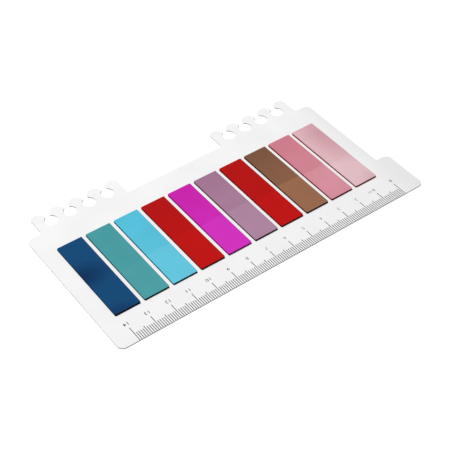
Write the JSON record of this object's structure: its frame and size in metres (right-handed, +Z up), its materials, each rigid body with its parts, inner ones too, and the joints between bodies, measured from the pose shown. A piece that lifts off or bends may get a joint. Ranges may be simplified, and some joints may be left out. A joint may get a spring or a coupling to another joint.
{
  "type": "sticky index tabs",
  "caption": "Row of coloured film index tab pads on a thin translucent ruler card, with a thumb tab at one end and two combs of open ring holes along the far edge.",
  "frame": {"origin": "under the middle of the whole outline, on the plane that the card lies on", "axes": "+X along the ruler from its 14 end to its 0 end, +Y from the ruler edge to the combs, +Z up out of the card, from its underside to the tab pads"},
  "size_m": [0.16, 0.0842, 0.0015],
  "materials": {
    "frosted_card": "frosted translucent polypropylene sheet",
    "scale_ink": "dark grey screen printing ink of the centimetre scale",
    "01_navy_film": "satin translucent film, darker where the films are stuck together",
    "02_teal_film": "satin translucent film, darker where the films are stuck together",
    "03_sky_blue_film": "satin translucent film, darker where the films are stuck together",
    "04_red_film": "satin translucent film, darker where the films are stuck together",
    "05_magenta_film": "satin translucent film, darker where the films are stuck together",
    "06_mauve_film": "satin translucent film, darker where the films are stuck together",
    "07_red_film": "satin translucent film, darker where the films are stuck together",
    "08_brown_film": "satin translucent film, darker where the films are stuck together",
    "09_rose_pink_film": "satin translucent film, darker where the films are stuck together",
    "10_pale_pink_film": "satin translucent film, darker where the films are stuck together"
  },
  "bodies": {
    "root": {"ruler_card": "frosted_card", "comb_14_end": "frosted_card", "comb_0_end": "frosted_card", "pad_01_navy": "01_navy_film", "pad_02_teal": "02_teal_film", "pad_03_sky_blue": "03_sky_blue_film", "pad_04_red": "04_red_film", "pad_05_magenta": "05_magenta_film", "pad_06_mauve": "06_mauve_film", "pad_07_red": "07_red_film", "pad_08_brown": "08_brown_film", "pad_09_rose_pink": "09_rose_pink_film", "pad_10_pale_pink": "10_pale_pink_film"}
  },
  "joints": []
}
